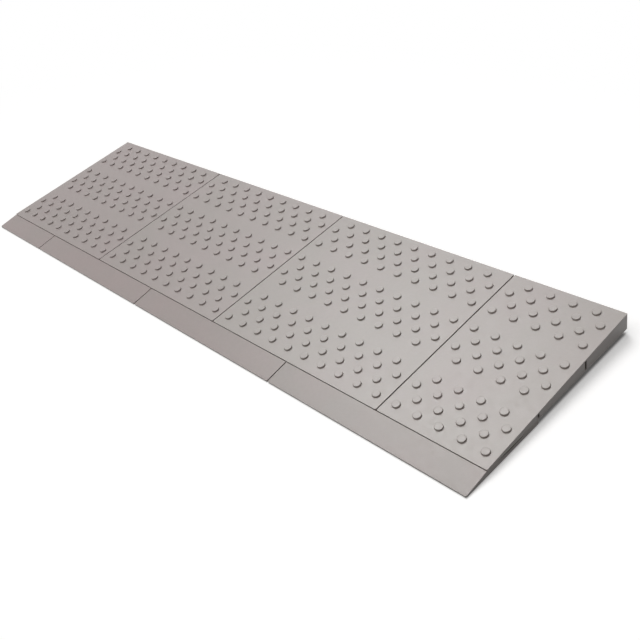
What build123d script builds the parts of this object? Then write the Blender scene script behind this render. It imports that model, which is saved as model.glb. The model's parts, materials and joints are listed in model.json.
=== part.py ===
from build123d import *
import math
import os

# Threshold ramp of clip-together tiles. +X runs along the row of tiles, +Y runs uphill to the threshold,
# +Z is up. The origin lies on the floor, under the middle of the whole ramp. All sizes are in millimetres.

# Layout of the row
module = 240.0            # pitch of a full tile, and of a full lip, along the row
full_count = 3            # full tiles side by side; half a tile closes the row on the right
seam = 1.2                # open joint between neighbours in the row
front_joint = 0.3         # open joint between the lip's shoulder and the tiles
lip_length = 27.0         # lip that shows in front of the tiles, with that joint
tile_depth = 206.0        # tile from its front edge to its back edge
row_pitch = 13.9          # spacing of the stud rows up the slope
band_rows = 5             # row spaces in one band of studs; the last row of each band stays smooth
band_count = 3            # bands from a tile's front edge to its back edge

# Heights above the floor
nose_height = 1.6         # blunt front edge of the lip
lip_height = 6.0          # shoulder of the lip, just under the tile's front edge
tongue_height = 4.5       # tongue of the lip behind that shoulder, which the tiles lie on
seat_gap = 0.2            # play between the tongue and the tile above it
toe_thickness = 2.3       # front edge of a tile
rise = 15.0               # climb of the walking surface from a tile's front edge to its back edge

# Tile moulding
plate = 3.5               # top plate over the hollow underside
wall = 3.0                # skirt round the hollow underside
rib = 2.4                 # ribs between the cells of the underside
cell_columns = 4          # cells across a full tile
cell_rows = 4             # cells from the solid toe to the back skirt
back_corner = 2.0         # plan radius of a tile's back corners
front_corner = 0.8        # chamfer of a tile's front corners, in plan
slit_width = 2.4          # saw guides in the side walls, in line with the smooth bands
slit_depth = 8.0          # how far the saw guides run in from the side
slit_roof = 1.5           # wall left between a saw guide and the walking surface
slit_floor = 6.4          # lower end of the saw guides above the floor

# Studs of the walking surface, six-sided so that the many copies stay light
stud_columns = 10         # studs in a long row of a full tile
stud_diameter = 8.2
stud_height = 1.5
stud_sides = 6
stud_root = 0.6           # depth of a stud's root in the plate

# Lip moulding
lip_corner = 1.5          # plan radius of the lip's front corners
lip_skin = 1.6            # plate between the tongue's top hollow and the pockets below
rail_depth = 24.0         # solid rail along the back of the tongue, which carries the snap pins
tongue_gap = 0.6          # the tongue ends this much before the tile's solid toe does
relief_depth = 1.2        # shallow hollow along the tongue's top, so that tiles bear on its two edges
relief_land = 13.0        # flat stretch of the tongue in front of that hollow
heel_chamfer = 1.2        # lead-in under the tongue's back end

# Snap pins that hold the tiles on the lip
pins_per_module = 2       # one in each of the two tiles that a full lip bridges
pin_inset = 12.5          # pin centre in front of the end of the tile's solid toe
pin_head = 14.0           # head along the row
pin_head_width = 10.0
pin_head_height = 1.6
pin_leg = 2.6             # each of the pin's two legs, along the row
pin_spread = 8.0          # over both legs
pin_width = 6.0
pin_tip = 0.8             # chamfer of the leg tips
pin_play = 0.4            # play round a pin
pin_recess = 0.3          # the head lies this much above the floor
pin_skin = 1.5            # plastic left between a pin's socket and the walking surface

# Keys that tie neighbouring tiles together under their joint
post_offset = 16.0        # post centre from the joint between two tiles
post_length = 12.0        # along the row
post_width = 8.0
post_height = 5.4         # above the key's plate
post_tip = 0.8            # chamfer of the post tops
post_split = 2.0          # slot that lets a post give when it is pressed home
key_play = 0.4            # play round a post, and between the plate and the skirts above it
key_margin = 4.0          # plate beyond the posts
key_corner = 4.0          # chamfer of the plate's plan corners
socket_wall = 5.0         # block round a post's socket

# Rubber pads
pad_length = 24.0
pad_width = 12.0
pad_corner = 3.0          # chamfer of the pad's plan corners
pad_seat_margin = 1.0     # rib block beyond the pad

# Values that follow
half_module = module / 2
ramp_width = full_count * module + half_module
ramp_depth = lip_length + tile_depth
band_depth = row_pitch * band_rows
toe_depth = band_depth
seat_height = tongue_height + seat_gap
foot_height = seat_height  # the skirt ends level with the toe and stands on the pads
front_height = seat_height + toe_thickness
back_height = front_height + rise
slope = math.degrees(math.atan2(rise, tile_depth))
stud_pitch = module / stud_columns
tongue_end = lip_length + toe_depth - tongue_gap
pin_pitch = module / pins_per_module
pin_depth = toe_depth - pin_inset
key_plate = foot_height - key_play
row_start = -ramp_width / 2
front_start = -ramp_depth / 2


def slope_height(depth):
    """Height of the walking surface at a distance behind a tile's front edge."""
    return front_height + rise * depth / tile_depth


def side_extrusion(points, left, right):
    """Solid with a given outline of depth and height, between two places along the row."""
    outline = make_face(Polyline(*points, close=True))
    return extrude(Plane.YZ.offset(left) * outline, right - left)


def block(left, right, front, back, low, high):
    """Upright block between six limits."""
    return Pos((left + right) / 2, (front + back) / 2, (low + high) / 2) * Box(
        right - left, back - front, high - low
    )


def under_plate(left, right, front, back, drop):
    """Solid from the skirt's lower edge up to a face that lies parallel to the walking surface, drop below it."""
    return side_extrusion(
        [
            (front, foot_height),
            (back, foot_height),
            (back, slope_height(back) - drop),
            (front, slope_height(front) - drop),
        ],
        left,
        right,
    )


def spans(start, end, count):
    """Equal clear spans between two walls, with a rib between neighbouring spans."""
    clear = (end - start - (count - 1) * rib) / count
    return [(start + i * (clear + rib), start + i * (clear + rib) + clear) for i in range(count)]


def columns_in(width):
    """Cells across a piece of a given nominal width."""
    return round(cell_columns * width / module)


def cell_spans(width):
    """Clear spans of the underside's cells, along the row and up the slope."""
    across = spans(seam / 2 + wall, width - seam / 2 - wall, columns_in(width))
    along = spans(toe_depth + wall, tile_depth - wall, cell_rows)
    return across, along


def rib_lines(cells):
    """Middles of the ribs between neighbouring cells."""
    return [(first[1] + second[0]) / 2 for first, second in zip(cells, cells[1:])]


def pad_places(width):
    """Centres of a tile's rubber pads: rib crossings next to its sides and near its front and back cells."""
    across, along = cell_spans(width)
    lines = rib_lines(across)
    rows = rib_lines(along)
    return [(x, y) for x in sorted({lines[0], lines[-1]}) for y in (rows[0], rows[-1])]


def key_depths():
    """Distances of the front and back keys behind a tile's front edge: the middles of the outer cells."""
    rows = spans(toe_depth + wall, tile_depth - wall, cell_rows)
    return {"front": sum(rows[0]) / 2, "back": sum(rows[-1]) / 2}


def pin_places(width):
    """Places of the snap pins along a piece of a given nominal width."""
    return [pin_pitch * (i + 0.5) for i in range(round(width / pin_pitch))]


def pin_socket_top():
    """Roof of the sockets that the snap pins reach into."""
    return slope_height(pin_depth - pin_width / 2) - pin_skin


def stud_rows():
    """Rows with studs, as far as they fit in front of the back skirt; the last row of each band stays smooth."""
    room = tile_depth - wall - stud_diameter / 2
    return [row for row in range(1, band_rows * band_count) if row % band_rows and row * row_pitch < room]


def stud_field(width):
    """Studs of one tile, square to the walking surface: long and short rows in turn, in smooth-edged bands."""
    surface = Plane(
        origin=(0, 0, front_height),
        x_dir=(1, 0, 0),
        z_dir=(0, -math.sin(math.radians(slope)), math.cos(math.radians(slope))),
    )
    stud = RegularPolygon(stud_diameter / 2, stud_sides, rotation=180 / stud_sides)
    long_row = round(width / stud_pitch)
    places = []
    for row in stud_rows():
        short = row % 2 == 0
        first = stud_pitch if short else stud_pitch / 2
        along = row * row_pitch / math.cos(math.radians(slope))
        places += [Pos(first + i * stud_pitch, along) for i in range(long_row - short)]
    field = Sketch() + [place * stud for place in places]
    return extrude(surface.offset(-stud_root) * field, stud_root + stud_height)


def saw_guides(width):
    """Narrow slits in both side walls, where the smooth bands let a tile be sawn shorter."""
    cuts = []
    for band in range(1, band_count):
        depth = band_depth * band
        roof = slope_height(depth) - slit_roof
        for left in (seam / 2, width - seam / 2 - slit_depth):
            cuts.append(
                block(
                    left,
                    left + slit_depth,
                    depth - slit_width / 2,
                    depth + slit_width / 2,
                    slit_floor,
                    roof,
                )
            )
    return cuts


def tile(width):
    """Tile moulding: sloping plate with studs, skirt, ribbed underside, and a toe that lies on the lip."""
    left = seam / 2
    right = width - seam / 2
    body = side_extrusion(
        [
            (0, seat_height),
            (0, front_height),
            (tile_depth, back_height),
            (tile_depth, foot_height),
        ],
        left,
        right,
    )
    body = fillet(body.edges().filter_by(Axis.Z).group_by(Axis.Y)[-1], back_corner)
    body = chamfer(body.edges().filter_by(Axis.Z).group_by(Axis.Y)[0], front_corner)

    across, along = cell_spans(width)
    body -= [under_plate(*x, *y, plate) for x in across for y in along]

    half_pad = pad_length / 2 + pad_seat_margin
    half_pad_width = pad_width / 2 + pad_seat_margin
    body += [
        under_plate(x - half_pad, x + half_pad, y - half_pad_width, y + half_pad_width, plate / 2)
        for x, y in pad_places(width)
    ]

    reach = post_offset + post_length / 2 + socket_wall
    half_socket = post_width / 2 + socket_wall
    sockets = []
    for depth in key_depths().values():
        for inner, outer, post in (
            (left + wall / 2, reach, post_offset),
            (width - reach, right - wall / 2, width - post_offset),
        ):
            body += under_plate(inner, outer, depth - half_socket, depth + half_socket, plate / 2)
            sockets.append(
                block(
                    post - post_length / 2 - key_play,
                    post + post_length / 2 + key_play,
                    depth - post_width / 2 - key_play,
                    depth + post_width / 2 + key_play,
                    foot_height,
                    key_plate + post_height + key_play,
                )
            )
    for place in pin_places(width):
        half_spread = pin_spread / 2 + pin_play
        half_width = pin_width / 2 + pin_play
        sockets.append(
            block(
                place - half_spread,
                place + half_spread,
                pin_depth - half_width,
                pin_depth + half_width,
                seat_height,
                pin_socket_top(),
            )
        )
    body -= sockets + saw_guides(width)
    return body + stud_field(width).solids()


def lip(width):
    """Lip moulding: sloping nose with a shoulder, then a tongue with a relieved top, pockets and a pin rail."""
    left = seam / 2
    right = width - seam / 2
    shoulder = lip_length - front_joint
    relief_start = lip_length + relief_land
    relief_end = tongue_end - rail_depth + relief_land / 2
    relief_middle = (relief_start + relief_end) / 2
    outline = Polyline(
        (relief_end, tongue_height),
        (tongue_end, tongue_height),
        (tongue_end, heel_chamfer),
        (tongue_end - heel_chamfer, 0),
        (0, 0),
        (0, nose_height),
        (shoulder, lip_height),
        (shoulder, tongue_height),
        (relief_start, tongue_height),
    ) + ThreePointArc(
        (relief_start, tongue_height),
        (relief_middle, tongue_height - relief_depth),
        (relief_end, tongue_height),
    )
    body = extrude(Plane.YZ.offset(left) * make_face(outline), right - left)
    body = fillet(body.edges().filter_by(Axis.Z).group_by(Axis.Y)[0], lip_corner)

    pocket_roof = tongue_height - relief_depth - lip_skin
    cuts = []
    for start, end in spans(left + wall, right - wall, columns_in(width)):
        cuts.append(block(start, end, lip_length, tongue_end - rail_depth, 0, pocket_roof))
    pin_line = lip_length + pin_depth
    for place in pin_places(width):
        half_head = pin_head / 2 + pin_play
        half_head_width = pin_head_width / 2 + pin_play
        half_spread = pin_spread / 2 + pin_play
        half_width = pin_width / 2 + pin_play
        cuts.append(
            block(
                place - half_head,
                place + half_head,
                pin_line - half_head_width,
                pin_line + half_head_width,
                0,
                pin_recess + pin_head_height,
            )
        )
        cuts.append(
            block(
                place - half_spread,
                place + half_spread,
                pin_line - half_width,
                pin_line + half_width,
                0,
                tongue_height,
            )
        )
    return body - cuts


def snap_pin():
    """Snap pin: a flat head with two legs that rise through the lip into the tile."""
    head_top = pin_recess + pin_head_height
    pin = block(
        -pin_head / 2, pin_head / 2, -pin_head_width / 2, pin_head_width / 2, pin_recess, head_top
    )
    leg_top = pin_socket_top() - pin_play
    for side in (-1, 1):
        inner = side * (pin_spread / 2 - pin_leg)
        outer = side * pin_spread / 2
        leg = block(
            min(inner, outer), max(inner, outer), -pin_width / 2, pin_width / 2, pin_recess, leg_top
        )
        tip = leg.faces().sort_by(Axis.Z)[-1].edges().filter_by(Axis.Y)
        leg = chamfer(tip.sort_by(Axis.X)[-1 if side > 0 else 0], pin_tip)
        pin += leg
    return pin


def seam_key():
    """Key under the joint of two tiles: a thin plate with a split post for each tile."""
    half_length = post_offset + post_length / 2 + key_margin
    half_width = post_width / 2 + key_margin
    key = block(-half_length, half_length, -half_width, half_width, 0, key_plate)
    key = chamfer(key.edges().filter_by(Axis.Z), key_corner)
    for middle in (-post_offset, post_offset):
        post = block(
            middle - post_length / 2,
            middle + post_length / 2,
            -post_width / 2,
            post_width / 2,
            0,
            key_plate + post_height,
        )
        post = chamfer(post.faces().sort_by(Axis.Z)[-1].edges(), post_tip)
        key += post
        key -= block(
            middle - post_split / 2,
            middle + post_split / 2,
            -post_width / 2,
            post_width / 2,
            key_plate,
            key_plate + post_height,
        )
    return key


def pad():
    """Rubber pad with clipped corners."""
    body = block(-pad_length / 2, pad_length / 2, -pad_width / 2, pad_width / 2, 0, foot_height)
    return chamfer(body.edges().filter_by(Axis.Z), pad_corner)


def save(name, shape):
    """Writes one piece, or one group of like pieces, under its own name."""
    export_step(shape, os.path.join("parts", name + ".step"))


def main():
    """Builds every piece in its place and writes it."""
    os.makedirs("parts", exist_ok=True)
    tile_line = front_start + lip_length
    tiles = {width: tile(width) for width in (module, half_module)}
    lips = {width: lip(width) for width in (module, half_module)}
    pin = snap_pin()
    key = seam_key()
    foot = pad()

    tile_row = [(f"tile_{i + 1}", module, row_start + i * module) for i in range(full_count)]
    tile_row.append(("half_tile", half_module, row_start + full_count * module))
    for name, width, start in tile_row:
        save(name, Pos(start, tile_line, 0) * tiles[width])
        pads = [Pos(start + x, tile_line + y, 0) * foot for x, y in pad_places(width)]
        save(f"pads_{name}", Compound(children=pads))

    lip_row = [("half_lip", half_module, row_start)]
    lip_row += [(f"lip_{i + 1}", module, row_start + half_module + i * module) for i in range(full_count)]
    for name, width, start in lip_row:
        save(name, Pos(start, front_start, 0) * lips[width])
        pins = [Pos(start + x, tile_line + pin_depth, 0) * pin for x in pin_places(width)]
        save(f"pins_{name}", Compound(children=pins))

    for number in range(1, full_count + 1):
        for place, depth in key_depths().items():
            joint = row_start + number * module
            save(f"seam_key_{number}_{place}", Pos(joint, tile_line + depth, 0) * key)


main()
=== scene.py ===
"""Looks of a clip-together threshold ramp: studded tiles, front lips, clips and rubber pads.

All lengths are in metres, in the ramp's own frame: +X along the row of tiles, +Y uphill, +Z up.
"""

import json
import logging
import math
from collections.abc import Mapping
from dataclasses import dataclass, field
from enum import Enum
from functools import cached_property
from typing import Protocol

import bmesh
import bpy
from bmesh.types import BMEdge, BMesh, BMFace, BMVert
from mathutils import Matrix, Vector


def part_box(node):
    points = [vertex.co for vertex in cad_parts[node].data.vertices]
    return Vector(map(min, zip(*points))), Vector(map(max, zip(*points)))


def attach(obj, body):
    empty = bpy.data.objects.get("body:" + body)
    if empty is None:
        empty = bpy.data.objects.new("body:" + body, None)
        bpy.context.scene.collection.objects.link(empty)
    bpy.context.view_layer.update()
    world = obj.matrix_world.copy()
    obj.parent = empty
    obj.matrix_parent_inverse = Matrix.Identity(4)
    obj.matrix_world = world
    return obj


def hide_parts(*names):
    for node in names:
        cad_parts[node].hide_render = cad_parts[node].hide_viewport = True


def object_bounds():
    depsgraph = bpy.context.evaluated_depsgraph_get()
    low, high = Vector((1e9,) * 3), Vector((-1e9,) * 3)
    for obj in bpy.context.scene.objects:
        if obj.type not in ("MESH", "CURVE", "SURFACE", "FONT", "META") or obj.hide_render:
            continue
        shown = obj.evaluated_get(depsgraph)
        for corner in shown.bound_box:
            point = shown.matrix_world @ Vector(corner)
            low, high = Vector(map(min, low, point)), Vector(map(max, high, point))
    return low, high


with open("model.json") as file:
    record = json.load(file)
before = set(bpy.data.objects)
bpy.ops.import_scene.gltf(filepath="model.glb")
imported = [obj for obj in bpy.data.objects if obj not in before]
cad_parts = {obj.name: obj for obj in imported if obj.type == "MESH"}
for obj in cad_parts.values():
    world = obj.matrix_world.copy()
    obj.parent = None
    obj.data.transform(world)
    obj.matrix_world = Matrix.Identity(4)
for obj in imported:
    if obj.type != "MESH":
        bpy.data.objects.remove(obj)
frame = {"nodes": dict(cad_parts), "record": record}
CAD_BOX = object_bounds()

LOG = logging.getLogger("threshold_ramp")

# Values that the plastic reads from the mesh
# Pale mark of worn edges, which is also painted highlight on the edges and on the stud crowns
RUB_AND_HIGHLIGHT = "rub_and_highlight"
# Painted colour cast of each piece: pinker where the light is dim, plainer where the gloss is
# strong
PAINTED_CAST = "painted_cast"

# Points closer than WELD are one point, and a point within CLOSE of a surface lies on it
WELD = 2e-6
CLOSE = 5 * WELD

# A face is broad, and shaded flat, where its area is more than this width times its longest edge
BROAD_FACE = 0.001

# Angles between faces: those of one flat face, of an edge to round off, of a smooth blend
FLAT = math.radians(0.1)
SHARP_CORNER = math.radians(50.0)
SMOOTH_BELOW = math.radians(36.0)

# Nearly all values of a cloudy pattern lie between these
BUSY = (0.3, 0.7)

# Places of the colour sockets on a mix node
MIX_SHARE, MIX_FIRST, MIX_SECOND, MIX_RESULT = 0, 6, 7, 2

Colour = tuple[float, float, float]
Place = tuple[float, float, float]
Socket = bpy.types.NodeSocket

WHITE: Colour = (1.0, 1.0, 1.0)


def shade(red: int, green: int, blue: int) -> Colour:
    """Turns a colour as seen on a screen, from 0 to 255, into scene-linear values.

    Args:
        red: Red part.
        green: Green part.
        blue: Blue part.

    Returns:
        The same colour in linear light.
    """
    def part(value: float) -> float:
        """One channel in linear light, by the screen's standard curve."""
        return value / 12.92 if value <= 0.04045 else ((value + 0.055) / 1.055) ** 2.4

    return part(red / 255), part(green / 255), part(blue / 255)


def round_edges(shape: BMesh, edges: list[BMEdge], radius: float, segments: int) -> list[BMVert]:
    """Rounds edges off.

    Args:
        shape: Shape that the edges belong to.
        edges: The edges.
        radius: Radius of the rounding.
        segments: Facets across the rounding.

    Returns:
        The vertices of the rounding.
    """
    made = bmesh.ops.bevel(
        shape,
        geom=edges,
        affect="EDGES",
        offset_type="OFFSET",
        offset=radius,
        segments=segments,
        profile=0.5,
        material=-1,
        clamp_overlap=True,
    )
    return made["verts"]


def settle(shape: BMesh, name: str) -> bpy.types.Mesh:
    """Makes a mesh of a finished shape and lets go of the shape.

    Args:
        shape: The finished shape.
        name: Name of the mesh.

    Returns:
        The mesh.
    """
    mesh = bpy.data.meshes.new(name)
    shape.to_mesh(mesh)
    shape.free()
    return mesh


def show(name: str, data: bpy.types.ID) -> bpy.types.Object:
    """Puts an object into the scene.

    Args:
        name: Name of the object.
        data: Its mesh, light or camera.

    Returns:
        The object.
    """
    made = bpy.data.objects.new(name, data)
    bpy.context.scene.collection.objects.link(made)
    return made


class Slot(Enum):
    """Material slots of the record."""

    TILE = "tile_plastic"
    LIP = "lip_plastic"
    CLIP = "clip_plastic"
    PAD = "pad_rubber"


class Nodes:
    """Node tree of a material or a sky, with short calls for the nodes that these share."""

    def __init__(self, owner: bpy.types.Material | bpy.types.World) -> None:
        """Opens the node tree of a material or a sky."""
        owner.use_nodes = True
        self.tree = owner.node_tree

    def feed(self, node: bpy.types.Node, inputs: Mapping[str | int, object]) -> None:
        """Links a node's inputs to other nodes, or sets them.

        Args:
            node: Node that is fed.
            inputs: Output socket, number, place or colour for each input, by its name or number.
        """
        for key, value in inputs.items():
            socket = node.inputs[key]
            if isinstance(value, Socket):
                self.tree.links.new(value, socket)
            elif socket.type == "RGBA":
                socket.default_value = (*value, 1.0)
            else:
                socket.default_value = value

    def node(
        self, kind: str, inputs: Mapping[str | int, object] | None = None, **settings: object
    ) -> bpy.types.Node:
        """Adds a node.

        Args:
            kind: Type of the node.
            inputs: What its inputs are fed with.
            **settings: Properties that are set on it.

        Returns:
            The new node.
        """
        made = self.tree.nodes.new(kind)
        for name, value in settings.items():
            setattr(made, name, value)
        self.feed(made, inputs or {})
        return made

    @cached_property
    def place(self) -> Socket:
        """Place of a point in the ramp's own frame."""
        return self.node("ShaderNodeTexCoord").outputs["Object"]

    def reckon(self, operation: str, first: Socket | float, second: Socket | float) -> Socket:
        """Joins two values by arithmetic.

        Args:
            operation: Name of the sum.
            first: Socket or number.
            second: Socket or number.

        Returns:
            The result.
        """
        made = self.node("ShaderNodeMath", {0: first, 1: second}, operation=operation)
        return made.outputs[0]

    def spread(
        self,
        value: Socket,
        low: float,
        high: float,
        limits: tuple[float, float] = BUSY,
        smooth: bool = False,
    ) -> Socket:
        """Stretches part of a value's range to new limits.

        Args:
            value: The value.
            low: Result at the part's lower limit and below it.
            high: Result at the part's upper limit and above it.
            limits: Limits of the part, which hold most of a cloudy pattern if left out.
            smooth: Whether the result eases in and out.

        Returns:
            The stretched value.
        """
        ends = {"From Min": limits[0], "From Max": limits[1], "To Min": low, "To Max": high}
        made = self.node(
            "ShaderNodeMapRange",
            {"Value": value, **ends},
            interpolation_type="SMOOTHSTEP" if smooth else "LINEAR",
        )
        return made.outputs["Result"]


class Paint(Nodes):
    """Node tree of one surface, with the patterns that the finishes share."""

    def __init__(self, name: str) -> None:
        """Starts a material.

        Args:
            name: Name of the material.
        """
        self.material = bpy.data.materials.new(name)
        super().__init__(self.material)
        self.shader = self.tree.nodes["Principled BSDF"]

    def noise(self, size: float, detail: float = 2.0) -> Socket:
        """Makes a cloudy pattern in the ramp's own frame.

        Args:
            size: Length of one blotch.
            detail: Layers of finer pattern.

        Returns:
            Value from 0 to 1, mostly near the middle.
        """
        inputs = {"Vector": self.place, "Scale": 1 / size, "Detail": detail}
        return self.node("ShaderNodeTexNoise", inputs).outputs["Fac"]

    def mix(self, share: Socket, first: Socket | Colour, second: Socket | Colour) -> Socket:
        """Mixes two colours.

        Args:
            share: Share of the second colour.
            first: Socket or colour.
            second: Socket or colour.

        Returns:
            The mixed colour.
        """
        inputs = {MIX_SHARE: share, MIX_FIRST: first, MIX_SECOND: second}
        return self.node("ShaderNodeMix", inputs, data_type="RGBA").outputs[MIX_RESULT]

    def brightness(self, colour: Socket, value: Socket) -> Socket:
        """Scales a colour's brightness by a pattern near 1."""
        made = self.node("ShaderNodeHueSaturation", {"Value": value, "Color": colour})
        return made.outputs["Color"]

    def attribute(self, name: str) -> Socket:
        """Reads a value that is stored on the mesh."""
        return self.node("ShaderNodeAttribute", attribute_name=name).outputs["Fac"]

    def bump(self, height: Socket, depth: float, strength: float) -> None:
        """Roughens the surface.

        Args:
            height: Pattern of the grain.
            depth: Height of the grain.
            strength: Share of the effect.
        """
        inputs = {"Strength": strength, "Distance": depth, "Height": height}
        made = self.node("ShaderNodeBump", inputs)
        self.feed(self.shader, {"Normal": made.outputs["Normal"]})


class Backdrop(Nodes):
    """Node tree of the studio's floor or sky."""

    @cached_property
    def seen(self) -> Socket:
        """Tells rays that show the backdrop, by eye, mirror or glass, from rays that only light.

        Returns:
            1 for a ray that shows the backdrop, otherwise 0.
        """
        path = self.node("ShaderNodeLightPath").outputs
        found = self.reckon("MAXIMUM", path["Is Camera Ray"], path["Is Glossy Ray"])
        return self.reckon("MAXIMUM", found, path["Is Transmission Ray"])

    def vector(self, operation: str, first: Socket, second: Place | None = None) -> Socket:
        """Works on the three numbers of a place at once.

        Args:
            operation: Name of the sum.
            first: The place.
            second: Numbers that it is joined with, if the sum has any.

        Returns:
            The new place, or its length.
        """
        inputs = {0: first} if second is None else {0: first, 1: second}
        made = self.node("ShaderNodeVectorMath", inputs, operation=operation)
        return made.outputs["Value" if operation == "LENGTH" else "Vector"]

    def blend(self, share: Socket, first: Socket, second: Socket) -> Socket:
        """Blends two shaders by the share of the second one."""
        return self.node("ShaderNodeMixShader", {0: share, 1: first, 2: second}).outputs[0]


class Finish(Protocol):
    """Anything that can make a surface material."""

    def material(self, name: str) -> bpy.types.Material:
        """Makes a material of that name."""


@dataclass(frozen=True)
class MouldedPlastic:
    """Matt moulded plastic: cloudy tint of one grey, a painted colour cast per piece, fine specks
    and grain, pale worn edges with painted highlight.

    Attributes:
        warm: Pinker end of the tint, towards which the painted colour cast takes pieces where the
            light is dim.
        cool: Plainer end of the tint, towards which the painted colour cast takes pieces where
            the gloss is strong.
        rubbed_and_highlit: Pale colour of worn edges, also used as painted highlight on the edges
            and on the stud crowns.
        rub_and_highlight_most: Largest share of the pale colour of wear and painted highlight.
        rub_and_highlight_patch: Length of a patch of the wear and painted highlight.
        rub_and_highlight_least: Part of the wear and painted highlight that is left between the
            patches.
        cloud: Length of a cloud in the tint.
        cloud_detail: Layers of finer clouds.
        cloud_share: How far a cloud moves the tint from the warm end towards the cool end.
        speck: Length of a speck.
        speck_detail: Layers of finer specks.
        speck_shades: Brightness of dark and of pale specks.
        grain: Length of a grain.
        grain_depth: Height of a grain.
        grain_strength: Share of the grain's effect.
        smoothest: Roughness of dark specks.
        roughest: Roughness of pale specks.
        specular: Strength of the gloss.
    """

    warm: Colour
    cool: Colour
    rubbed_and_highlit: Colour
    rub_and_highlight_most: float = 0.55
    rub_and_highlight_patch: float = 0.007
    rub_and_highlight_least: float = 0.35
    cloud: float = 0.07
    cloud_detail: float = 3.0
    cloud_share: float = 0.4
    speck: float = 0.0035
    speck_detail: float = 3.0
    speck_shades: tuple[float, float] = (0.975, 1.025)
    grain: float = 0.0007
    grain_depth: float = 0.00005
    grain_strength: float = 0.35
    smoothest: float = 0.31
    roughest: float = 0.41
    specular: float = 0.69

    def material(self, name: str) -> bpy.types.Material:
        """Makes the plastic.

        Args:
            name: Name of the material.

        Returns:
            The material.
        """
        paint = Paint(name)
        clouds = paint.noise(self.cloud, self.cloud_detail)
        clouds = paint.spread(clouds, -self.cloud_share, self.cloud_share)
        specks = paint.noise(self.speck, self.speck_detail)
        # Painted colour cast of the piece, moved a little about by the clouds
        share = paint.reckon("ADD", paint.attribute(PAINTED_CAST), clouds)
        tint = paint.mix(share, self.warm, self.cool)
        tint = paint.brightness(tint, paint.spread(specks, *self.speck_shades))
        # Pale mark of worn edges and painted highlight on edges and stud crowns, broken into
        # patches
        rub_and_highlight_share = paint.spread(paint.noise(self.rub_and_highlight_patch), self.rub_and_highlight_least, 1.0)
        rub_and_highlight_share = paint.reckon("MULTIPLY", paint.attribute(RUB_AND_HIGHLIGHT), rub_and_highlight_share)
        rub_and_highlight_share = paint.reckon("MULTIPLY", rub_and_highlight_share, self.rub_and_highlight_most)
        paint.feed(
            paint.shader,
            {
                "Base Color": paint.mix(rub_and_highlight_share, tint, self.rubbed_and_highlit),
                "Roughness": paint.spread(specks, self.smoothest, self.roughest),
                "Specular IOR Level": self.specular,
            },
        )
        paint.bump(paint.noise(self.grain), self.grain_depth, self.grain_strength)
        return paint.material


@dataclass(frozen=True)
class PadRubber:
    """Matt black rubber with patches of grey dust on a skin full of pores.

    Attributes:
        colour: Colour of the clean rubber.
        dust: Colour of the dust.
        dust_most: Largest share of the dust.
        dust_least: Part of the dust that is left in the pores.
        cloud: Length of a patch of dust.
        cloud_detail: Layers of finer patches.
        pore: Length of a pore.
        pore_detail: Layers of finer pores.
        pore_depth: Depth of a pore.
        pore_strength: Share of the pores' effect.
        smoothest: Roughness in the pores.
        roughest: Roughness between the pores.
        specular: Strength of the gloss.
    """

    colour: Colour
    dust: Colour
    dust_most: float = 0.45
    dust_least: float = 0.3
    cloud: float = 0.006
    cloud_detail: float = 4.0
    pore: float = 0.0005
    pore_detail: float = 3.0
    pore_depth: float = 0.00008
    pore_strength: float = 0.5
    smoothest: float = 0.75
    roughest: float = 0.95
    specular: float = 0.25

    def material(self, name: str) -> bpy.types.Material:
        """Makes the rubber.

        Args:
            name: Name of the material.

        Returns:
            The material.
        """
        paint = Paint(name)
        pores = paint.noise(self.pore, self.pore_detail)
        dusty = paint.spread(paint.noise(self.cloud, self.cloud_detail), 0.0, self.dust_most)
        dusty = paint.reckon("MULTIPLY", dusty, paint.spread(pores, self.dust_least, 1.0))
        paint.feed(
            paint.shader,
            {
                "Base Color": paint.mix(dusty, self.colour, self.dust),
                "Roughness": paint.spread(pores, self.smoothest, self.roughest),
                "Specular IOR Level": self.specular,
            },
        )
        paint.bump(pores, self.pore_depth, self.pore_strength)
        return paint.material


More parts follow.
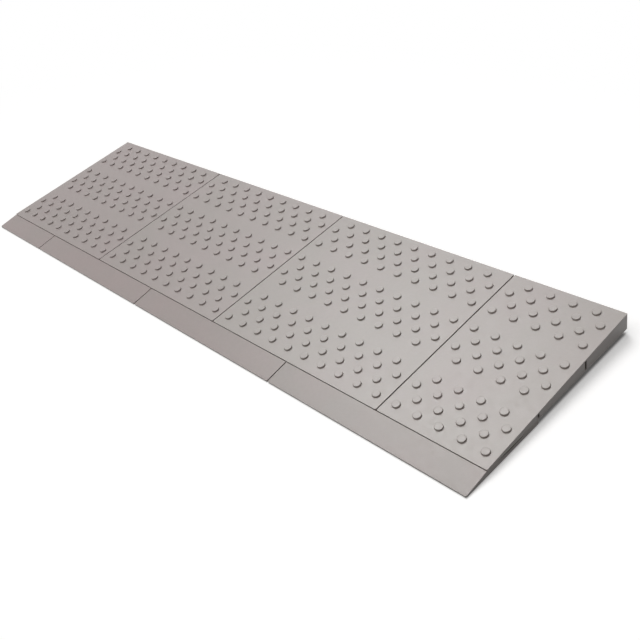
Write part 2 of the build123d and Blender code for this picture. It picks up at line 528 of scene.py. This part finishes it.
@dataclass
class Piece:
    """A moulding that stands for one node of the frame, with its sharp edges rounded off.

    Attributes:
        node: Node of the frame.
        body: Body that carries the piece.
        slot: Its material slot.
        material: Its material.
        painted_cast: Painted colour cast of the piece, from the warm end, 0, to the cool end, 1.
        edge_radius: Radius of the rounded edges.
        edge_segments: Facets across a rounded edge.
    """

    node: str
    body: str
    slot: Slot
    material: bpy.types.Material
    painted_cast: float
    edge_radius: float = 0.00025
    edge_segments: int = 2

    @property
    def name(self) -> str:
        """Name of the dressed piece."""
        return f"{self.node}.{self.slot.value}"

    def moulding(self) -> BMesh:
        """Copies the node's mesh, welded, with the triangles of each flat face joined.

        Returns:
            The copy.
        """
        shape = bmesh.new()
        shape.from_mesh(frame["nodes"][self.node].data)
        bmesh.ops.remove_doubles(shape, verts=shape.verts, dist=WELD)
        bmesh.ops.dissolve_limit(shape, angle_limit=FLAT, verts=shape.verts, edges=shape.edges)
        shape.verts.layers.float.new(RUB_AND_HIGHLIGHT)
        return shape

    def sharp_edges(self, shape: BMesh) -> list[BMEdge]:
        """Finds the edges that a hand would feel.

        Args:
            shape: The moulding.

        Returns:
            Its sharp outward edges.
        """
        return [
            edge
            for edge in shape.edges
            if edge.is_manifold and edge.is_convex and edge.calc_face_angle() > SHARP_CORNER
        ]

    def flat(self, face: BMFace) -> bool:
        """Tells whether a face is broad enough to be shaded flat, up to its rounded edges."""
        return face.calc_area() > BROAD_FACE * max(edge.calc_length() for edge in face.edges)

    def round_off(self, shape: BMesh) -> None:
        """Rounds the sharp edges off and marks them pale: edge wear and painted highlight, fading
        towards the broad faces.

        Args:
            shape: The moulding.
        """
        edges = self.sharp_edges(shape)
        rounding = round_edges(shape, edges, self.edge_radius, self.edge_segments)
        rub_and_highlight = shape.verts.layers.float[RUB_AND_HIGHLIGHT]
        broad = {face for face in shape.faces if self.flat(face)}
        # Rounded edges away from the broad faces get the pale mark: wear and painted highlight
        for vert in rounding:
            vert[rub_and_highlight] = 0.0 if broad.intersection(vert.link_faces) else 1.0

    def model(self) -> BMesh:
        """Models the piece.

        Returns:
            The piece's shape.
        """
        shape = self.moulding()
        self.round_off(shape)
        return shape

    def build(self) -> bpy.types.Object:
        """Makes the piece, dresses it and hangs it on its body.

        Returns:
            The finished object.
        """
        shape = self.model()
        bmesh.ops.recalc_face_normals(shape, faces=shape.faces)
        for face in shape.faces:
            face.smooth = not self.flat(face)
        for edge in shape.edges:
            edge.smooth = edge.is_manifold and edge.calc_face_angle() < SMOOTH_BELOW
        # Painted colour cast of the piece, stored on every point
        painted_cast = shape.verts.layers.float.new(PAINTED_CAST)
        for vert in shape.verts:
            vert[painted_cast] = self.painted_cast
        piece = show(self.name, settle(shape, self.name))
        piece.data.materials.append(self.material)
        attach(piece, self.body)
        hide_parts(self.node)
        return piece


@dataclass
class Clip(Piece):
    """Snap pins of one lip, or a key under a joint between tiles."""


@dataclass
class Pad(Piece):
    """Rubber pads of one tile."""


@dataclass
class Shell(Piece):
    """Broad moulding with hidden cells, of which only the outer edges are rounded off.

    Attributes:
        reach: How far inside the moulding's box an edge still counts as an outer one.
        low: Lowest corner of the box.
        high: Highest corner of the box.
    """

    edge_radius: float = 0.00012
    edge_segments: int = 3
    reach: float = 0.0013
    low: Vector = field(init=False)
    high: Vector = field(init=False)

    def __post_init__(self) -> None:
        """Reads the moulding's box from the frame."""
        self.low, self.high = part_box(self.node)

    def outside(self, point: Vector) -> bool:
        """Tells whether a point lies on the moulding's outer walls."""
        gaps = (*(point - self.low).xy, *(self.high - point).xy)
        return min(gaps) < self.reach

    def sharp_edges(self, shape: BMesh) -> list[BMEdge]:
        """Finds the sharp edges that run along or between the outer walls.

        Args:
            shape: The moulding.

        Returns:
            The edges that show when the piece lies in its row.
        """
        return [
            edge
            for edge in super().sharp_edges(shape)
            if all(self.outside(vert.co) for vert in edge.verts)
        ]


@dataclass
class Lip(Shell):
    """Front lip: sloping nose, with a tongue that runs under the tiles."""


@dataclass(frozen=True)
class Stud:
    """Round stud of the walking surface, with a flared root, a little draft and a rounded crown.

    Attributes:
        radius: Radius above the root.
        height: Height above the plate.
        root: Width and height of the flare at the root.
        draft: How much narrower the stud is at its top.
        crown: Radius of the rounding at the top.
        crown_segments: Facets across that rounding.
        sides: Facets round the stud.
    """

    radius: float = 0.0041
    height: float = 0.0015
    root: float = 0.00012
    draft: float = 0.0001
    crown: float = 0.0005
    crown_segments: int = 3
    sides: int = 18

    def mesh(self) -> bpy.types.Mesh:
        """Models one stud on the origin, open underneath.

        Returns:
            The stud's mesh.
        """
        shape = bmesh.new()
        bmesh.ops.create_cone(
            shape,
            cap_ends=True,
            segments=self.sides,
            radius1=self.radius + self.root,
            radius2=self.radius,
            depth=self.root,
            matrix=Matrix.Translation((0, 0, self.root / 2)),
        )
        caps = [face for face in shape.faces if len(face.verts) == self.sides]
        under, top = sorted(caps, key=lambda face: face.calc_center_median().z)
        bmesh.ops.delete(shape, geom=[under], context="FACES_ONLY")
        rise = self.height - self.root
        bmesh.ops.inset_individual(shape, faces=[top], thickness=self.draft, depth=rise)
        round_edges(shape, top.edges[:], self.crown, self.crown_segments)
        return settle(shape, "stud")


@dataclass
class Tile(Shell):
    """Tile moulding: ribbed shell under a sloping plate with bands of round studs.

    Attributes:
        seam: Gap between neighbouring tiles.
        front_height: Height of the plate's front edge.
        rise: Height that the plate gains up to its back edge.
        cast_corner: Radius of the back corners in the frame.
        crisp_corner: Radius of the back corners as they are shown.
        stud: Shape of a stud.
        stud_highlight: Painted highlight on the stud crowns.
        highlight_depth: How far below its top a stud gets the painted highlight.
        stud_pitch: Distance between the studs of a row.
        row_pitch: Distance between rows.
        band_rows: Rows to a band, counting the smooth one behind it.
        band_count: Bands on a tile.
    """

    seam: float = 0.0012
    front_height: float = 0.0070
    rise: float = 0.0150
    cast_corner: float = 0.0020
    crisp_corner: float = 0.0005
    stud: Stud = Stud()
    # Painted highlight on the stud crowns, and how far down the crowns it reaches
    stud_highlight: float = 0.12
    highlight_depth: float = 0.00075
    stud_pitch: float = 0.024
    row_pitch: float = 0.0139
    band_rows: int = 5
    band_count: int = 3

    @cached_property
    def slope(self) -> float:
        """Angle of the walking plane."""
        return math.atan2(self.rise, self.high.y - self.low.y)

    @cached_property
    def normal(self) -> Vector:
        """Direction square to the walking plane."""
        return Vector((0, -math.sin(self.slope), math.cos(self.slope)))

    @cached_property
    def front_edge(self) -> Vector:
        """A point on the front edge of the walking plane."""
        return Vector((0, self.low.y, self.front_height))

    def above(self, point: Vector) -> float:
        """Height of a point above the walking plane."""
        return (point - self.front_edge).dot(self.normal)

    def on_plate(self, point: Vector) -> bool:
        """Tells whether a point lies in the walking plane."""
        return abs(self.above(point)) < CLOSE

    def in_plate(self, face: BMFace) -> bool:
        """Tells whether a face lies in the walking plane."""
        return all(self.on_plate(vert.co) for vert in face.verts)

    def flat(self, face: BMFace) -> bool:
        """Tells whether a face is shaded flat, as every sliver of the plate is."""
        return self.in_plate(face) or super().flat(face)

    def sharp_edges(self, shape: BMesh) -> list[BMEdge]:
        """Finds the edges of the walking surface and the corners below it.

        Args:
            shape: The moulding.

        Returns:
            The outer edges that touch the walking plane; the slits in the walls stay crisp.
        """
        return [
            edge
            for edge in super().sharp_edges(shape)
            if any(self.on_plate(vert.co) for vert in edge.verts)
        ]

    def clear_plate(self, shape: BMesh) -> None:
        """Takes the coarse studs off and closes the walking surface as one face.

        Args:
            shape: The moulding.
        """
        coarse = [vert for vert in shape.verts if self.above(vert.co) > self.stud.height / 2]
        bmesh.ops.delete(shape, geom=coarse, context="VERTS")
        plate = [face for face in shape.faces if self.in_plate(face)]
        bmesh.ops.delete(shape, geom=plate, context="FACES")
        rim = [edge for edge in shape.edges if edge.is_boundary]
        bmesh.ops.holes_fill(shape, edges=rim)

    def tighten_corners(self, shape: BMesh) -> None:
        """Draws the rounded corners at the back in, so that they look as crisp as the real ones.

        Args:
            shape: The moulding.
        """
        for side, wall in ((-1, self.low.x), (1, self.high.x)):
            corner = Vector((wall, self.high.y))
            inward = Vector((-side, -1))
            cast_centre = corner + self.cast_corner * inward
            crisp_centre = corner + self.crisp_corner * inward
            for vert in shape.verts:
                spoke = vert.co.xy - cast_centre
                on_arc = abs(spoke.length - self.cast_corner) < CLOSE
                if on_arc and spoke.x * side > -WELD and spoke.y > -WELD:
                    on_plate = self.on_plate(vert.co)
                    vert.co.xy = crisp_centre + self.crisp_corner / self.cast_corner * spoke
                    if on_plate:
                        vert.co.z -= self.above(vert.co) / self.normal.z

    def stud_places(self) -> list[Matrix]:
        """Works out where the studs stand: long and short rows in turn, a smooth row to a band.

        Returns:
            One placing matrix for each stud, square to the walking plane.
        """
        tilt = Matrix.Rotation(self.slope, 4, "X")
        start = self.low.x - self.seam / 2
        width = self.high.x - self.low.x + self.seam
        long_row = round(width / self.stud_pitch)
        places = []
        for row in range(1, self.band_rows * self.band_count):
            if row % self.band_rows:
                short = row % 2 == 0
                first = start + (self.stud_pitch if short else self.stud_pitch / 2)
                depth = row * self.row_pitch
                height = self.front_height + depth * math.tan(self.slope)
                for number in range(long_row - short):
                    spot = (first + number * self.stud_pitch, self.low.y + depth, height)
                    places.append(Matrix.Translation(spot) @ tilt)
        return places

    def stud_field(self) -> bpy.types.Mesh:
        """Sets all the tile's studs out.

        Returns:
            One mesh with every stud in its place.
        """
        stud = self.stud.mesh()
        shape = bmesh.new()
        for place in self.stud_places():
            first = len(shape.verts)
            shape.from_mesh(stud)
            shape.verts.ensure_lookup_table()
            bmesh.ops.transform(shape, matrix=place, verts=shape.verts[first:])
        bpy.data.meshes.remove(stud)
        return settle(shape, "stud_field")

    def plant_studs(self, shape: BMesh) -> None:
        """Sets the round studs into the walking surface and stretches the plate between them.

        Args:
            shape: The moulding, with its edges rounded and the plate as its largest face.
        """
        plate = max(shape.faces, key=lambda face: face.calc_area())
        bmesh.ops.delete(shape, geom=[plate], context="FACES_ONLY")
        studs = self.stud_field()
        shape.from_mesh(studs)
        bpy.data.meshes.remove(studs)
        rims = [edge for edge in shape.edges if edge.is_boundary]
        bmesh.ops.triangle_fill(shape, use_beauty=True, edges=rims, normal=self.normal)
        rub_and_highlight = shape.verts.layers.float[RUB_AND_HIGHLIGHT]
        # Stud crowns get the painted highlight; the plate between the studs stays unmarked
        for vert in shape.verts:
            if self.above(vert.co) > self.stud.height - self.highlight_depth:
                vert[rub_and_highlight] = self.stud_highlight
            elif self.on_plate(vert.co):
                vert[rub_and_highlight] = 0.0

    def model(self) -> BMesh:
        """Models the tile.

        Returns:
            The tile's shape.
        """
        shape = self.moulding()
        self.clear_plate(shape)
        self.tighten_corners(shape)
        self.round_off(shape)
        self.plant_studs(shape)
        return shape


MAKERS: Mapping[Slot, type[Piece]] = {
    Slot.TILE: Tile,
    Slot.LIP: Lip,
    Slot.CLIP: Clip,
    Slot.PAD: Pad,
}


@dataclass(frozen=True)
class Ramp:
    """The whole ramp: what its pieces are made of.

    Attributes:
        finishes: Finish for each material slot.
        painted_casts: Painted colour cast of the mouldings that show, by node.
        usual_painted_cast: Painted colour cast of the others.
    """

    finishes: Mapping[Slot, Finish]
    painted_casts: Mapping[str, float]
    usual_painted_cast: float = 0.5

    def pieces(self) -> list[Piece]:
        """Lists the pieces in the order of the record's bodies.

        Returns:
            One piece for each node.
        """
        record = frame["record"]
        materials = {slot: finish.material(slot.value) for slot, finish in self.finishes.items()}
        slots = {part["node"]: Slot(part["material_slot"]) for part in record["subparts"]}
        pieces = []
        for body, nodes in record["behaviour"]["bodies"].items():
            for node in nodes:
                slot = slots[node]
                painted_cast = self.painted_casts.get(node, self.usual_painted_cast)
                pieces.append(MAKERS[slot](node, body, slot, materials[slot], painted_cast))
        return pieces


@dataclass(frozen=True)
class Viewpoint:
    """The photograph's camera, turned about its own axis as the photograph is.

    Attributes:
        eye: Where it stands.
        target: What it looks at.
        roll: Turn about its own axis.
        field_of_view: Angle across the picture.
        near_limit: Distance at which it starts to see.
    """

    eye: Place = (0.71513, -0.41426, 0.50547)
    target: Place = (0.16617, -0.0285, 0.01)
    roll: float = math.radians(-14.827)
    field_of_view: float = math.radians(42.484)
    near_limit: float = 0.01

    def build(self) -> None:
        """Sets the camera up and makes it the scene's own."""
        eye = Vector(self.eye)
        ahead = (Vector(self.target) - eye).normalized()
        level = ahead.cross(Vector((0, 0, 1))).normalized()
        upright = level.cross(ahead)
        right = math.cos(self.roll) * level + math.sin(self.roll) * upright
        up = right.cross(ahead)
        turn = Matrix((right, up, -ahead)).transposed()
        data = bpy.data.cameras.new("camera")
        data.sensor_fit = "HORIZONTAL"
        data.angle = self.field_of_view
        data.clip_start = self.near_limit
        camera = show("camera", data)
        camera.matrix_world = Matrix.Translation(eye) @ turn.to_4x4()
        bpy.context.scene.camera = camera


@dataclass(frozen=True)
class FarLight:
    """Light so far away that it falls alike on the whole ramp.

    Attributes:
        name: Name of the light.
        travel: Direction that the light travels in.
        strength: Light on a surface that faces it.
        spread: Angle that the light fills as the ramp sees it.
        colour: Its colour.
    """

    name: str
    travel: Place
    strength: float
    spread: float
    colour: Colour = WHITE

    def build(self) -> None:
        """Hangs the light."""
        data = bpy.data.lights.new(self.name, "SUN")
        data.color = self.colour
        data.energy = self.strength
        data.angle = self.spread
        light = show(self.name, data)
        light.matrix_world = Vector(self.travel).to_track_quat("-Z", "Y").to_matrix().to_4x4()


@dataclass(frozen=True)
class Sky:
    """Surroundings that fill the shadows a little and are seen as white.

    Attributes:
        colour: Colour of the light in the shadows.
        strength: Strength of that light.
    """

    colour: Colour = (1.0, 0.97, 0.94)
    strength: float = 0.17

    def build(self) -> None:
        """Sets the surroundings up."""
        world = bpy.data.worlds.new("studio")
        nodes = Backdrop(world)
        fill = nodes.tree.nodes["Background"]
        nodes.feed(fill, {"Color": self.colour, "Strength": self.strength})
        white = nodes.node("ShaderNodeBackground", {"Color": WHITE})
        both = nodes.blend(nodes.seen, fill.outputs[0], white.outputs[0])
        nodes.feed(nodes.tree.nodes["World Output"], {"Surface": both})
        bpy.context.scene.world = world


@dataclass(frozen=True)
class Floor:
    """Pale floor that keeps the ramp's shadow, with painted shade under the ramp, and fades to
    plain white away from the ramp.

    Attributes:
        size: Length of its sides.
        drop: Its depth under the ramp, which keeps the two surfaces apart.
        pale: Its brightness as it is seen.
        dim: Its brightness for the light that it throws back.
        glow: White that is added where it is seen and lies open.
        oval: Half lengths of an oval round the ramp, along the row and uphill.
        fade: Where the fade to white starts and ends, as shares of the oval.
        painted_shade_edge: Edge of the painted shade under the ramp: where the glow starts and
            where it is full, as distances outside the ramp's edges.
        glow_in_painted_shade: Share of the glow that is left in the painted shade under the ramp.
    """

    size: float = 8.0
    drop: float = 0.0002
    pale: float = 0.8
    dim: float = 0.14
    glow: float = 0.365
    oval: tuple[float, float] = (0.70, 0.40)
    fade: tuple[float, float] = (0.8, 1.5)
    painted_shade_edge: tuple[float, float] = (-0.0015, 0.0015)
    glow_in_painted_shade: float = 0.13

    def far(self, nodes: Backdrop) -> Socket:
        """Tells how far out on the floor a seen point lies.

        Args:
            nodes: Node tree of the floor.

        Returns:
            0 near the ramp and for rays that only light, 1 well away from the ramp.
        """
        across, uphill = self.oval
        share = nodes.vector("MULTIPLY", nodes.place, (1 / across, 1 / uphill, 0.0))
        far = nodes.spread(nodes.vector("LENGTH", share), 0.0, 1.0, self.fade, smooth=True)
        return nodes.reckon("MULTIPLY", far, nodes.seen)

    def outside_painted_shade(self, nodes: Backdrop) -> Socket:
        """Paints shade under the ramp: tells where the floor keeps its glow and where the glow is
        taken away.

        Args:
            nodes: Node tree of the floor.

        Returns:
            0 for rays that only light, a small share in the painted shade under the ramp, 1 just
            outside its edges.
        """
        half_length, half_depth = CAD_BOX[1][:2]
        size = nodes.vector("ABSOLUTE", nodes.place)
        beyond = nodes.vector("SUBTRACT", size, (half_length, half_depth, 0.0))
        axes = nodes.node("ShaderNodeSeparateXYZ", {0: beyond}).outputs
        most = nodes.reckon("MAXIMUM", axes["X"], axes["Y"])
        edge = nodes.spread(most, self.glow_in_painted_shade, 1.0, self.painted_shade_edge, smooth=True)
        return nodes.reckon("MULTIPLY", edge, nodes.seen)

    def material(self, name: str) -> bpy.types.Material:
        """Makes the floor's paint.

        Args:
            name: Name of the material.

        Returns:
            The material.
        """
        material = bpy.data.materials.new(name)
        nodes = Backdrop(material)
        nodes.tree.nodes.remove(nodes.tree.nodes["Principled BSDF"])
        tone = nodes.spread(nodes.seen, self.dim, self.pale, (0.0, 1.0))
        matt = nodes.node("ShaderNodeBsdfDiffuse", {"Color": tone})
        # Glow of the open floor, taken away under the ramp as painted shade in the gap under its
        # walls
        strength = nodes.reckon("MULTIPLY", self.outside_painted_shade(nodes), self.glow)
        glow = nodes.node("ShaderNodeEmission", {"Color": WHITE, "Strength": strength})
        near = nodes.node("ShaderNodeAddShader", {0: matt.outputs[0], 1: glow.outputs[0]})
        white = nodes.node("ShaderNodeEmission", {"Color": WHITE})
        both = nodes.blend(self.far(nodes), near.outputs[0], white.outputs[0])
        nodes.feed(nodes.tree.nodes["Material Output"], {"Surface": both})
        return material

    def build(self) -> None:
        """Lays the floor."""
        name = "studio_floor"
        shape = bmesh.new()
        bmesh.ops.create_grid(shape, x_segments=1, y_segments=1, size=self.size / 2)
        bmesh.ops.translate(shape, verts=shape.verts, vec=(0, 0, -self.drop))
        floor = show(name, settle(shape, name))
        floor.data.materials.append(self.material(name))


@dataclass(frozen=True)
class Studio:
    """Plain white studio with soft light.

    Attributes:
        camera: The photograph's camera.
        lamp: Light from behind the row on the left, which shines in the plastic.
        fill: Broad light from the front on the left.
        sky: White surroundings.
        floor: Pale floor.
    """

    camera: Viewpoint = Viewpoint()
    lamp: FarLight = FarLight(
        "lamp",
        travel=(0.485, -0.35, -0.80),
        strength=1.36,
        spread=math.radians(30.0),
    )
    fill: FarLight = FarLight(
        "fill",
        travel=(0.30, 0.40, -0.87),
        strength=1.1,
        spread=math.radians(50.0),
        colour=(1.0, 0.99, 0.98),
    )
    sky: Sky = Sky()
    floor: Floor = Floor()

    def build(self) -> None:
        """Sets the studio up."""
        for part in (self.camera, self.lamp, self.fill, self.sky, self.floor):
            part.build()
        bpy.context.scene.view_settings.view_transform = "Standard"


RAMP = Ramp(
    finishes={
        Slot.TILE: MouldedPlastic(
            warm=shade(150, 138, 136),
            cool=shade(145, 138, 133),
            # Pale colour of worn edges and of the painted highlight on edges and stud crowns
            rubbed_and_highlit=shade(186, 178, 174),
        ),
        Slot.LIP: MouldedPlastic(
            warm=shade(152, 139, 137),
            cool=shade(146, 139, 135),
            rubbed_and_highlit=shade(182, 174, 171),
            specular=0.62,
        ),
        Slot.CLIP: MouldedPlastic(
            warm=shade(112, 109, 106),
            cool=shade(104, 103, 102),
            rubbed_and_highlit=shade(140, 137, 134),
            smoothest=0.38,
            roughest=0.5,
            specular=0.45,
        ),
        Slot.PAD: PadRubber(colour=shade(38, 38, 38), dust=shade(96, 93, 90)),
    },
    # Painted colour cast: pinker at the left of the row, where the light is dim, plainer at the
    # right, where the gloss is strong
    painted_casts={
        "tile_1": 0.2,
        "tile_2": 0.45,
        "tile_3": 0.85,
        "half_tile": 0.85,
        "half_lip": 0.1,
        "lip_1": 0.15,
        "lip_2": 0.45,
        "lip_3": 0.75,
    },
)


def main() -> None:
    """Builds every piece and the studio, and reports each piece."""
    logging.basicConfig(level=logging.INFO, format="%(name)s: %(message)s")
    for piece in RAMP.pieces():
        made = piece.build()
        LOG.info("%s on %s, %d faces", made.name, piece.body, len(made.data.polygons))
    Studio().build()


if __name__ == "__main__":
    main()
